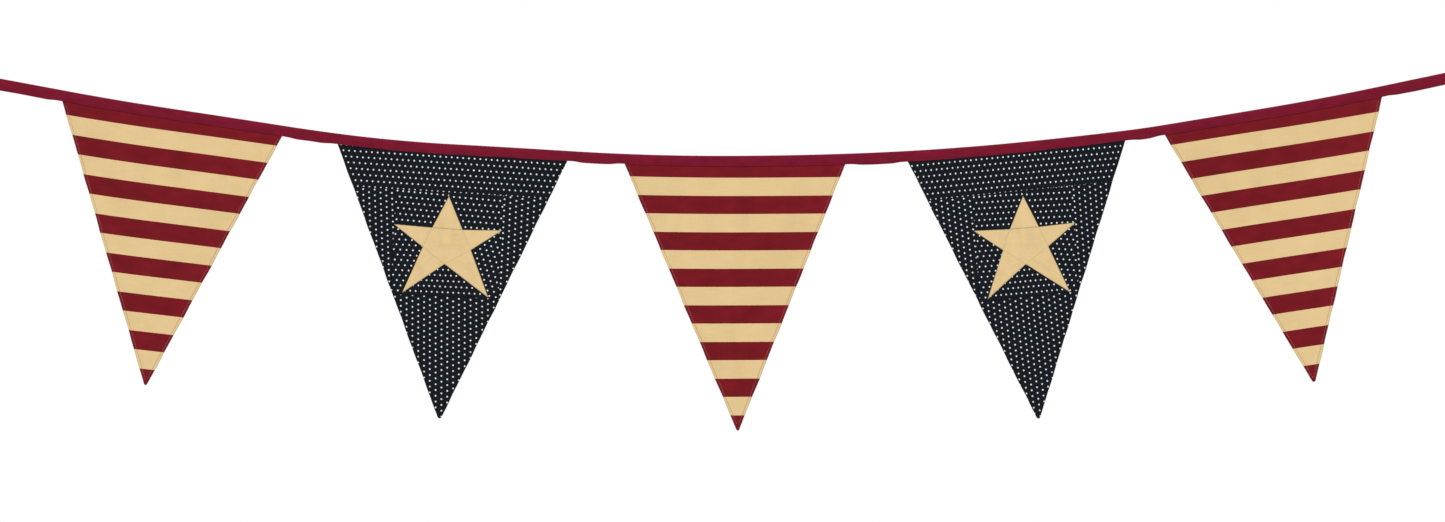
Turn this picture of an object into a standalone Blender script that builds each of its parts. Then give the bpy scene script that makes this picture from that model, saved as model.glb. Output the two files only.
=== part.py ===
"""Bunting: five cloth pennants hanging in a shallow swag from one folded tape.

Lengths are in millimetres and are scaled to metres when a mesh is made. X runs along the bunting to the
viewer's right, Z is up, and the fronts of the pennants face -Y. The origin is on the tape's top edge, at
the middle of the middle pennant. The tape is one strip folded over the heads of the pennants, with its
fold on top, and each pennant is a long triangle with a rounded point. A star is let into the two dotted
pennants, flush with the cloth round it.
"""

import math

import bmesh
import bpy
import numpy as np
from mathutils import Matrix, Vector

MM = 0.001
GAP = 0.3

# Tape
TAPE_LEAF = 1.0
TAPE_SLOT_SHUT = 0.3
TAPE_STATION = 25.0
TAPE_FOLD_STEPS = 4
SLOT_PAST_HEAD = 7.0
SLOT_TAPER = 12.0

# Pennants
CLOTH = 1.2
HEAD_BELOW_FOLD = 2.2
POINT_STEPS = 4
ROWS = 16
COLUMNS = 12
TAPE_SLOT_OPEN = CLOTH + 2 * GAP
STAR_CUTTER_REACH = 40.0

# The tape's path from its left end. Each row is one stretch: its length along the top edge, and the
# heading, in degrees above level, the tape's width and how far it stands forward at the stretch's end.
START = {"heading": -10.4, "width": 13.9, "forward": 0.0}
STRETCHES = [
    ("left_tail", {"length": 147.8, "heading": -10.6, "width": 13.7, "forward": 0.0}),
    ("pennant_1_left", {"length": 128.0, "heading": -8.5, "width": 13.6, "forward": 0.8}),
    ("pennant_1_right", {"length": 127.7, "heading": -8.9, "width": 13.4, "forward": 0.3}),
    ("gap_1_2", {"length": 65.2, "heading": -7.4, "width": 13.2, "forward": -0.9}),
    ("pennant_2_left", {"length": 132.4, "heading": -3.1, "width": 13.3, "forward": -0.2}),
    ("pennant_2_right", {"length": 132.0, "heading": -3.6, "width": 12.9, "forward": 0.7}),
    ("gap_2_3", {"length": 66.9, "heading": -2.3, "width": 12.8, "forward": 0.9}),
    ("pennant_3_left", {"length": 127.0, "heading": 0.3, "width": 13.4, "forward": 0.0}),
    ("pennant_3_right", {"length": 125.8, "heading": 1.9, "width": 13.6, "forward": -0.6}),
    ("gap_3_4", {"length": 73.1, "heading": 3.2, "width": 13.7, "forward": -1.0}),
    ("pennant_4_left", {"length": 125.6, "heading": 5.6, "width": 13.2, "forward": 0.2}),
    ("pennant_4_right", {"length": 124.8, "heading": 7.0, "width": 12.8, "forward": 0.9}),
    ("gap_4_5", {"length": 46.6, "heading": 9.3, "width": 12.9, "forward": 0.6}),
    ("pennant_5_left", {"length": 126.3, "heading": 9.6, "width": 13.4, "forward": -0.4}),
    ("pennant_5_right", {"length": 126.8, "heading": 11.9, "width": 13.6, "forward": 0.0}),
    ("right_tail", {"length": 152.8, "heading": 11.7, "width": 14.2, "forward": 0.0}),
]
ORIGIN_AT_END_OF = "pennant_3_left"

# Each pennant: the stretches it hangs from, the angle at its point and the radius that rounds it, how far
# its middle line swings from plumb (to the left is positive), and its relief in millimetres: cup is the
# middle standing forward of the edges, point is how far forward the point hangs, twist is the right edge
# coming forward, and wave is a soft upright fold, whose place across the cloth runs from -1 to 1.
PENNANTS = [
    {"name": "pennant_1_striped", "first": "pennant_1_left", "last": "pennant_1_right", "angle": 44.7,
     "round": 2.0, "swing": 6.2, "cup": 7.0, "point": 3.0, "twist": 2.0, "wave": 1.2, "wave_at": -0.4},
    {"name": "pennant_2_dotted", "first": "pennant_2_left", "last": "pennant_2_right", "angle": 46.3,
     "round": 2.6, "swing": 3.0, "cup": -4.0, "point": 4.5, "twist": -1.5, "wave": 1.0, "wave_at": 0.5},
    {"name": "pennant_3_striped", "first": "pennant_3_left", "last": "pennant_3_right", "angle": 44.6,
     "round": 1.7, "swing": -0.5, "cup": 6.0, "point": -2.0, "twist": 1.0, "wave": 1.4, "wave_at": 0.3},
    {"name": "pennant_4_dotted", "first": "pennant_4_left", "last": "pennant_4_right", "angle": 43.8,
     "round": 2.4, "swing": -4.8, "cup": 5.0, "point": 3.5, "twist": -2.0, "wave": 1.0, "wave_at": -0.5},
    {"name": "pennant_5_striped", "first": "pennant_5_left", "last": "pennant_5_right", "angle": 44.1,
     "round": 2.4, "swing": -8.8, "cup": -5.0, "point": 5.0, "twist": 1.5, "wave": 1.2, "wave_at": 0.4},
]
WAVE_LENGTH = 95.0
RELIEF_STARTS_BY = 0.3

# The pieced stars, each a little different. A star's middle lies above its pennant's sharp corner along
# the middle line, and to the right of that line. Its corners are given from there, clockwise: five tips,
# and the inner corners between them, where a point is sewn to the star's middle patch.
STARS = [
    {"name": "star_2", "pennant": "pennant_2_dotted", "up": 199.8, "across": -0.9, "corners": [
        ("top", {"across": -1.7, "up": 60.9}),
        ("inner_upper_right", {"across": 16.0, "up": 22.9}),
        ("right", {"across": 61.6, "up": 24.6}),
        ("inner_right", {"across": 26.7, "up": 0.1}),
        ("lower_right", {"across": 49.8, "up": -53.8}),
        ("inner_bottom", {"across": -2.7, "up": -17.6}),
        ("lower_left", {"across": -49.8, "up": -53.2}),
        ("inner_left", {"across": -28.9, "up": 0.8}),
        ("left", {"across": -63.5, "up": 25.3}),
        ("inner_upper_left", {"across": -19.1, "up": 23.7}),
    ]},
    {"name": "star_4", "pennant": "pennant_4_dotted", "up": 201.0, "across": 2.6, "corners": [
        ("top", {"across": 1.2, "up": 60.5}),
        ("inner_upper_right", {"across": 16.3, "up": 23.5}),
        ("right", {"across": 59.0, "up": 24.9}),
        ("inner_right", {"across": 25.3, "up": 0.0}),
        ("lower_right", {"across": 46.0, "up": -54.7}),
        ("inner_bottom", {"across": -2.3, "up": -18.2}),
        ("lower_left", {"across": -49.5, "up": -54.9}),
        ("inner_left", {"across": -27.1, "up": 0.0}),
        ("left", {"across": -59.3, "up": 25.2}),
        ("inner_upper_left", {"across": -17.4, "up": 23.5}),
    ]},
]

BURGUNDY_TAPE = (0.198, 0.011, 0.031)
BURGUNDY_CLOTH = (0.185, 0.012, 0.017)
NAVY_CLOTH = (0.009, 0.012, 0.017)
TAN_CLOTH = (0.768, 0.565, 0.283)


def smooth_step(value):
    value = np.clip(value, 0.0, 1.0)
    return value * value * (3 - 2 * value)


class Tape:
    """The tape's path, width and slot, each read by s, the distance from the left end along the top edge.

    The path is added up from its headings in steps of half a millimetre."""

    STEP = 0.5

    def __init__(self):
        ends = [0.0]
        for _, row in STRETCHES:
            ends.append(ends[-1] + row["length"])
        self.ends = dict(zip([name for name, _ in STRETCHES], ends[1:]))
        self.starts = dict(zip([name for name, _ in STRETCHES], ends[:-1]))
        self.length = ends[-1]
        self.knots = ends
        self.columns = {key: [START[key]] + [row[key] for _, row in STRETCHES] for key in START}
        self.fine = np.linspace(0.0, self.length, int(self.length / self.STEP) + 1)
        heading = np.radians(np.interp(self.fine, ends, self.columns["heading"]))
        self.x = self.run(np.cos(heading))
        self.z = self.run(np.sin(heading))
        middle = self.ends[ORIGIN_AT_END_OF]
        self.x -= np.interp(middle, self.fine, self.x)
        self.z -= np.interp(middle, self.fine, self.z)
        self.open = [(self.starts[p["first"]], self.ends[p["last"]]) for p in PENNANTS]

    def run(self, rate):
        steps = (rate[1:] + rate[:-1]) / 2 * np.diff(self.fine)
        return np.concatenate([[0.0], np.cumsum(steps)])

    def heading(self, s):
        return math.radians(np.interp(s, self.knots, self.columns["heading"]))

    def width(self, s):
        return float(np.interp(s, self.knots, self.columns["width"]))

    def forward(self, s):
        """How far the tape stands forward, eased from one end of a stretch to the other."""
        i = min(int(np.searchsorted(self.knots, s, side="right")), len(self.knots) - 1)
        before, after = self.columns["forward"][i - 1 : i + 1]
        share = (s - self.knots[i - 1]) / (self.knots[i] - self.knots[i - 1])
        return before + (after - before) * float(smooth_step(share))

    def slot(self, s):
        """The space between the two leaves: shut on its own, and open where it holds a pennant's head."""
        outside = min(max(a - SLOT_PAST_HEAD - s, s - b - SLOT_PAST_HEAD, 0.0) for a, b in self.open)
        shut = float(smooth_step(outside / SLOT_TAPER))
        return TAPE_SLOT_OPEN + (TAPE_SLOT_SHUT - TAPE_SLOT_OPEN) * shut

    def point(self, s, down, out=0.0):
        """The point under the top edge at s, down across the tape and out towards the viewer."""
        heading = self.heading(s)
        x = np.interp(s, self.fine, self.x) + down * math.sin(heading)
        z = np.interp(s, self.fine, self.z) - down * math.cos(heading)
        return Vector((x, -self.forward(s) - out, z))

    def stations(self):
        """Where the sections stand: at each stretch's end, round each slot's ends, and evenly between."""
        fixed = set(self.knots)
        for a, b in self.open:
            for edge, side in ((a, -1), (b, 1)):
                for past in (0.0, 0.5, 1.0):
                    fixed.add(edge + side * (SLOT_PAST_HEAD + past * SLOT_TAPER))
        fixed = sorted(fixed)
        places = [fixed[0]]
        for a, b in zip(fixed, fixed[1:]):
            count = math.ceil((b - a) / TAPE_STATION)
            places += [a + (b - a) * (i + 1) / count for i in range(count)]
        return places

    def section(self, s):
        """One ring round the folded strip: over its outside from front to back, then back inside the slot."""
        inner = self.slot(s) / 2
        outer = inner + TAPE_LEAF
        lower = self.width(s)
        ring = [(lower, outer)]
        ring += self.arc(outer, outer)
        ring += [(lower, -outer), (lower, -inner)]
        ring += [(down, -out) for down, out in self.arc(inner, outer)]
        ring += [(lower, inner)]
        return [self.point(s, down, out) for down, out in ring]

    @staticmethod
    def arc(radius, centre):
        """Half a circle over the top, from front to back, whose centre lies that far under the top edge."""
        angles = [math.pi * i / TAPE_FOLD_STEPS for i in range(TAPE_FOLD_STEPS + 1)]
        return [(centre - radius * math.sin(a), radius * math.cos(a)) for a in angles]


class Pennant:
    """One pennant's cloth. u runs from -1 at its left edge to 1 at its right, and v is how far below the
    tape a point lies, negative for the head inside the tape."""

    def __init__(self, row, tape):
        self.row = row
        self.tape = tape
        self.first = tape.starts[row["first"]]
        self.last = tape.ends[row["last"]]
        self.half = math.radians(row["angle"] / 2)
        swing = math.radians(row["swing"])
        self.up = Vector((math.sin(swing), 0.0, math.cos(swing)))
        self.across = Vector((math.cos(swing), 0.0, -math.sin(swing)))
        left, right = self.lower_edge(-1), self.lower_edge(1)
        # The two side edges run down from these corners, and their lines cross at the sharp corner.
        span = right - left
        wide, rise = span.dot(self.across), span.dot(self.up)
        slope = math.tan(self.half)
        self.left_height = (wide / slope - rise) / 2
        self.right_height = (wide / slope + rise) / 2
        self.corner = left - self.up * self.left_height + self.across * self.left_height * slope
        self.corner.y = 0.0
        self.height = wide / slope / 2
        self.half_width = wide / 2
        self.radius = row["round"]
        self.round_centre = self.radius / math.sin(self.half)
        self.length = self.height - self.round_centre + self.radius

    def station(self, u):
        return self.first + (self.last - self.first) * (u + 1) / 2

    def lower_edge(self, u):
        s = self.station(u)
        return self.tape.point(s, self.tape.width(s))

    def half_width_at(self, height):
        """Half the pennant's width at a height above its sharp corner, round at the point."""
        if height >= self.round_centre - self.radius * math.sin(self.half):
            return height * math.tan(self.half)
        return math.sqrt(max(self.radius**2 - (self.round_centre - height) ** 2, 0.0))

    def side(self, u, v):
        """The point on the left edge (u = -1) or right edge (u = 1) of the row at v. Rows run along the
        tape at the top and turn square to the middle line on their way down."""
        rise = (self.right_height - self.left_height) / 2
        height = self.height - v + u * rise * (1 - v / self.height) ** 2
        return self.corner + self.up * height + self.across * u * self.half_width_at(height)

    def relief(self, u, v):
        """How far the cloth stands forward of the tape's middle plane."""
        row = self.row
        share = v / self.height
        narrow = max(1 - share, 0.0)
        started = float(smooth_step(share / RELIEF_STARTS_BY))
        cup = row["cup"] * (1 - u * u) * narrow**2
        twist = row["twist"] * u * narrow
        phase = 2 * math.pi * (u * narrow - row["wave_at"]) * self.half_width / WAVE_LENGTH
        wave = row["wave"] * math.cos(phase) * narrow
        return started * (cup + twist + wave) + row["point"] * share**1.5

    def head_point(self, u, v):
        """A point of the head, inside the tape, where the side edges run on straight."""
        heading_left, heading_right = self.tape.heading(self.first), self.tape.heading(self.last)
        swing = math.radians(self.row["swing"])
        left = self.first + v * math.tan(self.half - swing - heading_left)
        right = self.last - v * math.tan(self.half + swing + heading_right)
        s = left + (right - left) * (u + 1) / 2
        return self.tape.point(s, self.tape.width(s) + v)

    def point(self, u, v):
        if v < 0:
            return self.head_point(u, v)
        left, right, share = self.side(-1, v), self.side(1, v), (u + 1) / 2
        chord = self.lower_edge(-1).lerp(self.lower_edge(1), share)
        bow = (self.lower_edge(u) - chord) * (1 - v / self.height) ** 2
        place = left.lerp(right, share) + bow
        place.y = -self.tape.forward(self.station(u)) * (1 - v / self.height) - self.relief(u, v)
        return place

    def rows(self):
        """The places of the cross rows: the head, the straight sides, and round the point."""
        head = HEAD_BELOW_FOLD - min(self.tape.width(self.first), self.tape.width(self.last))
        turn = math.pi / 2 - self.half
        centre = self.height - self.round_centre
        straight_to = centre + self.radius * math.sin(self.half)
        places = [head, head / 2]
        places += [straight_to * i / ROWS for i in range(ROWS)]
        places += [centre + self.radius * math.cos(turn * (1 - i / POINT_STEPS)) for i in range(POINT_STEPS)]
        return places

    def hang_matrix(self):
        """The pennant's own frame: its origin on the tape's top edge over its middle line, with Z up it."""
        axes = Matrix((self.across, Vector((0.0, 1.0, 0.0)), self.up)).transposed().to_4x4()
        place = self.tape.point(self.station(0.0), 0.0)
        return Matrix.Translation(place * MM) @ axes


def material(name, colour, roughness):
    made = bpy.data.materials.new(name)
    made.use_nodes = True
    shader = made.node_tree.nodes["Principled BSDF"]
    shader.inputs["Base Color"].default_value = (*colour, 1.0)
    shader.inputs["Roughness"].default_value = roughness
    shader.inputs["Metallic"].default_value = 0.0
    return made


def object_of(name, points, faces, look=None, frame=Matrix.Identity(4)):
    """An object whose mesh has these points, in millimetres, seen from its own frame."""
    mesh = bpy.data.meshes.new(name)
    mesh.from_pydata([point * MM for point in points], [], faces)
    mesh.transform(frame.inverted())
    made = bpy.data.objects.new(name, mesh)
    bpy.context.scene.collection.objects.link(made)
    made.matrix_world = frame
    if look:
        mesh.materials.append(look)
    mesh.shade_smooth()
    mesh.set_sharp_from_angle(angle=math.radians(35))
    return made


def make_tape(tape, look):
    """The folded strip: sections along the path joined into a skin, with a flat cut at each end."""
    sections = [tape.section(s) for s in tape.stations()]
    size = len(sections[0])
    points = [point for section in sections for point in section]
    faces = []
    for row in range(len(sections) - 1):
        for i in range(size):
            j = (i + 1) % size
            a, b = row * size, (row + 1) * size
            faces.append((a + i, b + i, b + j, a + j))
    faces.append(tuple(range(size)))
    faces.append(tuple(reversed(range(len(points) - size, len(points)))))
    made = object_of("binding_tape", points, faces, look)
    face_outwards(made.data)
    return made


def face_outwards(mesh):
    shape = bmesh.new()
    shape.from_mesh(mesh)
    bmesh.ops.recalc_face_normals(shape, faces=shape.faces)
    shape.to_mesh(mesh)
    shape.free()


def make_cloth(pennant, name, look):
    """The pennant's middle surface, a grid that closes to one vertex at its point, given its thickness."""
    points = []
    faces = []
    rows = pennant.rows()
    wide = COLUMNS + 1
    for v in rows:
        points += [pennant.point(2 * i / COLUMNS - 1, v) for i in range(wide)]
    tip = len(points)
    points.append(pennant.point(0.0, pennant.length))
    for row in range(len(rows) - 1):
        for i in range(COLUMNS):
            a = row * wide + i
            faces.append((a, a + 1, a + 1 + wide, a + wide))
    last = tip - wide
    faces += [(last + i, last + i + 1, tip) for i in range(COLUMNS)]
    made = object_of(name, points, faces, look, pennant.hang_matrix())
    thick = made.modifiers.new("cloth", "SOLIDIFY")
    thick.thickness = CLOTH * MM
    thick.offset = 0.0
    thick.use_even_offset = True
    return made


def crossing(a, b, c, d):
    """Where the line through a and b meets the line through c and d."""
    ab, cd, ac = b - a, d - c, c - a
    return a + ab * (ac.x * cd.y - ac.y * cd.x) / (ab.x * cd.y - ab.y * cd.x)


def grown(outline, by):
    """The same outline with each side moved out by that much. It runs clockwise."""
    count = len(outline)
    moved = []
    for i, corner in enumerate(outline):
        before = (corner - outline[i - 1]).normalized()
        after = (outline[(i + 1) % count] - corner).normalized()
        out_before = Vector((-before.y, before.x)) * by
        out_after = Vector((-after.y, after.x)) * by
        moved.append(crossing(
            corner + out_before, corner + out_before + before, corner + out_after, corner + out_after + after
        ))
    return moved


def star_cutter(name, outline, star, pennant):
    """A prism of the star's outline that runs through the cloth from front to back."""
    centre = pennant.corner + pennant.up * star["up"] + pennant.across * star["across"]
    placed = [centre + pennant.across * corner.x + pennant.up * corner.y for corner in outline]
    depth = Vector((0.0, STAR_CUTTER_REACH, 0.0))
    points = [place - depth for place in placed] + [place + depth for place in placed]
    count = len(outline)
    faces = [tuple(range(count)), tuple(reversed(range(count, 2 * count)))]
    faces += [(i, i + count, (i + 1) % count + count, (i + 1) % count) for i in range(count)]
    made = object_of(name, points, faces)
    face_outwards(made.data)
    made.hide_render = True
    made.display_type = "WIRE"
    return made


def cut(target, cutter, operation):
    modifier = target.modifiers.new(cutter.name, "BOOLEAN")
    modifier.operation = operation
    modifier.solver = "EXACT"
    modifier.object = cutter


def let_in_star(star, pennant, cloth, look):
    """Cuts the star's place out of the dotted cloth, and cuts the star from the same curved sheet."""
    outline = [Vector((row["across"], row["up"])) for _, row in star["corners"]]
    hole = star_cutter(star["name"] + "_hole", grown(outline, GAP), star, pennant)
    shape = star_cutter(star["name"] + "_shape", outline, star, pennant)
    cut(cloth, hole, "DIFFERENCE")
    made = make_cloth(pennant, star["name"], look)
    cut(made, shape, "INTERSECT")
    return [made, hole, shape]


def clear_scene():
    for old in list(bpy.data.objects):
        bpy.data.objects.remove(old, do_unlink=True)


def main():
    clear_scene()
    tape = Tape()
    hanger = bpy.data.objects.new("bunting", None)
    bpy.context.scene.collection.objects.link(hanger)
    made = [make_tape(tape, material("burgundy_tape", BURGUNDY_TAPE, 0.85))]
    cloths = {}
    for row in PENNANTS:
        striped = row["name"].endswith("striped")
        look = material(row["name"], BURGUNDY_CLOTH if striped else NAVY_CLOTH, 0.9)
        pennant = Pennant(row, tape)
        cloth = make_cloth(pennant, row["name"], look)
        cloths[row["name"]] = (pennant, cloth)
        made.append(cloth)
    for star in STARS:
        pennant, cloth = cloths[star["pennant"]]
        made += let_in_star(star, pennant, cloth, material(star["name"], TAN_CLOTH, 0.9))
    for piece in made:
        piece.parent = hanger


main()
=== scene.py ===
"""Looks of the bunting: five cloth pennants sewn into a folded binding tape.

Lengths are in millimetres and are scaled to metres when a mesh is made. The tape's path and the pennants'
shapes repeat the named sizes of the solids, so that each cloth lies on the folds of the solid it replaces.
"""

import math
from itertools import compress

import bmesh
import bpy
import numpy as np
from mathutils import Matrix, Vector


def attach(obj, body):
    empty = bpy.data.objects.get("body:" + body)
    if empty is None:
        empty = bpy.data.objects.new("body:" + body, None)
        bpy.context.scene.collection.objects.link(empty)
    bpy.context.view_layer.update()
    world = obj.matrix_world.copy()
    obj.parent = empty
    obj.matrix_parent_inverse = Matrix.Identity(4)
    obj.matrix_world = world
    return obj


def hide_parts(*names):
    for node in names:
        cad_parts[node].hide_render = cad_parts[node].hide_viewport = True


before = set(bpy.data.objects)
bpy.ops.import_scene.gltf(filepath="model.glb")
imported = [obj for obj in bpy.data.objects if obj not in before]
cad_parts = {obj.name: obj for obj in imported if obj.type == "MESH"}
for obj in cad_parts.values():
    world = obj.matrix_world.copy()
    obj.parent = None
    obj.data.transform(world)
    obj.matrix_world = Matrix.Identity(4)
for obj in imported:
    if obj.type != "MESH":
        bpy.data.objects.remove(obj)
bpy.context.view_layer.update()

MM = 0.001
BODY = "root"

# Tape, as in the solids. START is its heading, width and place forward at the left end. A stretch has its
# name, its length, and the heading, width and place forward at its right end.
TAPE_LEAF = 1.0
TAPE_SLOT_SHUT = 0.3
TAPE_SLOT_OPEN = 1.8
SLOT_PAST_HEAD = 7.0
SLOT_TAPER = 12.0
START = (-10.4, 13.9, 0.0)
STRETCHES = [
    ("left_tail", 147.8, -10.6, 13.7, 0.0),
    ("pennant_1_left", 128.0, -8.5, 13.6, 0.8),
    ("pennant_1_right", 127.7, -8.9, 13.4, 0.3),
    ("gap_1_2", 65.2, -7.4, 13.2, -0.9),
    ("pennant_2_left", 132.4, -3.1, 13.3, -0.2),
    ("pennant_2_right", 132.0, -3.6, 12.9, 0.7),
    ("gap_2_3", 66.9, -2.3, 12.8, 0.9),
    ("pennant_3_left", 127.0, 0.3, 13.4, 0.0),
    ("pennant_3_right", 125.8, 1.9, 13.6, -0.6),
    ("gap_3_4", 73.1, 3.2, 13.7, -1.0),
    ("pennant_4_left", 125.6, 5.6, 13.2, 0.2),
    ("pennant_4_right", 124.8, 7.0, 12.8, 0.9),
    ("gap_4_5", 46.6, 9.3, 12.9, 0.6),
    ("pennant_5_left", 126.3, 9.6, 13.4, -0.4),
    ("pennant_5_right", 126.8, 11.9, 13.6, 0.0),
    ("right_tail", 152.8, 11.7, 14.2, 0.0),
]
ORIGIN_AT_END_OF = "pennant_3_left"

# Pennants, as in the solids: the angle at the point and the radius that rounds it, the swing from plumb, and
# the relief. The striped ones also have their print: how far below the tape the first tan stripe begins, the
# step to the next one, and how far the stripes leave the tape's line at its top, by a tilt that falls to the
# right and by a bow that falls at both sides.
PENNANTS = [
    {"name": "pennant_1_striped", "angle": 44.7, "round": 2.0, "swing": 6.2, "cup": 7.0, "point": 3.0,
     "twist": 2.0, "wave": 1.2, "wave_at": -0.4, "print": (12.0, 42.64, -1.3, 0.0)},
    {"name": "pennant_2_dotted", "angle": 46.3, "round": 2.6, "swing": 3.0, "cup": -4.0, "point": 4.5,
     "twist": -1.5, "wave": 1.0, "wave_at": 0.5},
    {"name": "pennant_3_striped", "angle": 44.6, "round": 1.7, "swing": -0.5, "cup": 6.0, "point": -2.0,
     "twist": 1.0, "wave": 1.4, "wave_at": 0.3, "print": (12.0, 42.55, 0.2, 1.2)},
    {"name": "pennant_4_dotted", "angle": 43.8, "round": 2.4, "swing": -4.8, "cup": 5.0, "point": 3.5,
     "twist": -2.0, "wave": 1.0, "wave_at": -0.5},
    {"name": "pennant_5_striped", "angle": 44.1, "round": 2.4, "swing": -8.8, "cup": -5.0, "point": 5.0,
     "twist": 1.5, "wave": 1.2, "wave_at": 0.4, "print": (11.9, 42.63, 1.75, 1.2)},
]
WAVE_LENGTH = 95.0
RELIEF_STARTS_BY = 0.3

# The pieced stars, as in the solids: the middle's place across and up, and from there the corners' places,
# clockwise from the top tip. Tips take turns with the inner corners, where a point meets the middle patch.
STARS = {
    "pennant_2_dotted": {"name": "star_2", "middle": (-0.9, 199.8), "corners": [
        (-1.7, 60.9), (16.0, 22.9), (61.6, 24.6), (26.7, 0.1), (49.8, -53.8),
        (-2.7, -17.6), (-49.8, -53.2), (-28.9, 0.8), (-63.5, 25.3), (-19.1, 23.7),
    ]},
    "pennant_4_dotted": {"name": "star_4", "middle": (2.6, 201.0), "corners": [
        (1.2, 60.5), (16.3, 23.5), (59.0, 24.9), (25.3, 0.0), (46.0, -54.7),
        (-2.3, -18.2), (-49.5, -54.9), (-27.1, 0.0), (-59.3, 25.2), (-17.4, 23.5),
    ]},
}
# The seams round each star's block: where each crosses the pennant's middle line (top, bottom) or the
# level of the star's centre (left, right), and its tilt in degrees.
BLOCKS = {
    "pennant_2_dotted": {
        "top": (265.2, -0.6), "bottom": (144.8, 0.6), "left": (-64.0, 0.2), "right": (60.5, -0.3),
    },
    "pennant_4_dotted": {
        "top": (267.7, 1.0), "bottom": (145.1, 1.5), "left": (-55.5, -0.7), "right": (60.0, -1.5),
    },
}
# How the dotted print lies in each patch: the way its rows run, the steps along a row and from row to row,
# how far each row is set along against the last, as a share of a step, and where one dot lies, across the
# pennant's middle line and up from its sharp corner.
PRINTS = {
    "pennant_2_dotted": {
        "top": (-0.7, 6.6, 6.7, 0.51, -2.3, 278.9),
        "left": (95.0, 6.6, 6.6, 0.57, -78.4, 221.3),
        "right": (90.5, 6.5, 6.9, 0.60, 82.6, 223.0),
        "bottom": (93.0, 6.7, 6.7, 0.58, 4.1, 96.4),
        "wedge_upper_right": (-1.8, 6.7, 6.7, 0.52, 32.2, 239.1),
        "wedge_right": (-69.0, 6.5, 6.6, 0.57, 48.6, 188.5),
        "wedge_bottom": (0.3, 6.2, 6.5, 0.47, -7.6, 156.1),
        "wedge_left": (64.5, 6.5, 6.7, 0.52, -53.8, 184.4),
        "wedge_upper_left": (-2.3, 6.6, 6.6, 0.54, -34.2, 243.1),
        "back": (1.0, 6.5, 6.6, 0.50, 0.0, 200.0),
    },
    "pennant_4_dotted": {
        "top": (0.7, 6.2, 6.8, 0.53, 2.6, 281.1),
        "left": (92.0, 6.6, 6.5, 0.52, -70.0, 227.8),
        "right": (89.5, 6.7, 6.3, 0.57, 74.6, 222.6),
        "bottom": (92.0, 6.7, 6.4, 0.57, -0.7, 93.8),
        "wedge_upper_right": (-1.8, 6.2, 6.9, 0.54, 32.1, 248.3),
        "wedge_right": (-72.5, 6.5, 6.4, 0.48, 49.1, 189.9),
        "wedge_bottom": (0.4, 5.9, 6.6, 0.49, 1.2, 156.6),
        "wedge_left": (64.5, 6.6, 6.3, 0.55, -43.4, 190.1),
        "wedge_upper_left": (-1.0, 6.2, 6.7, 0.57, -26.9, 244.2),
        "back": (-1.5, 6.5, 6.6, 0.50, 2.0, 203.0),
    },
}

# Cloth: half its thickness inside and at the turned edge, and the marks that sewing leaves on it, each with
# its size and how far it reaches.
LAYER_HALF = 0.45
EDGE_HALF = 0.72
EDGE_ROUND = 0.8
ALLOWANCE = 6.5
ALLOWANCE_EASE = 0.8
TOPSTITCH_IN = 3.0
TOPSTITCH_FROM = 2.0
TOPSTITCH_MARK = (0.28, 0.45)
PUCKER_MARK = (0.10, 2.4)
PUCKER_FROM_EDGE = 1.5
EDGE_WANDER = 0.22
WANDER_LONG = 10.3
WANDER_SHORT = 4.7
WANDER_SHORT_SIZE = 0.6
WANDER_SHORT_PHASE = 2.1
WANDER_PHASES = {"left": 0.9, "right": 2.7, "by_swing": 0.35}
WANDER_FROM = 0.7
WANDER_FADES = (15.0, 25.0)
HEAD = 9.0
HEAD_ROWS = 4
POINT_ROWS = 6
ROW_STEP = 2.2
EDGE_STEPS = (0.0, 0.12, 0.4, 0.8, 1.5, 2.2, 2.7, 3.0, 3.3, 3.8, 4.8, 6.5)
EDGE_SQUEEZE = 1.2
INNER_COLUMNS = 36
TINY = 1e-6
SEAM_SINK = 0.34
SEAM_HALF_WIDTH = 0.6
SEAM_FROM_EDGE = 2.0
SEAM_STEPS = (0.0, -0.4, 0.4, -1.0, 1.0)
CUT_SNAP = 0.02
CUT_REACH = 4.0
BAND_REACH = 200.0
STAR_BED = 0.05
STAR_THREAD_TURNS = (0.0, 90.0, 18.0, -36.0, 36.0, -18.0)
# How strongly the seams round a star's middle sink and show as painted shade, clockwise from the right
# point's to the top point's.
STAR_SEAMS = (0.36, 0.30, 0.40, 0.36, 1.0)
# Uneven waves: the length along which the phase grows by 1, how far the phase wavers, and over what length.
PUCKER_LENGTH = 11.0
PUCKER_WAVE = (PUCKER_LENGTH / (2 * math.pi), 2.0, 37.0)
RIPPLE_WAVE = (7.3, 1.7, 41.0)
TAPE_EDGE_WAVE = (9.1, 1.3, 33.0)
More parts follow.
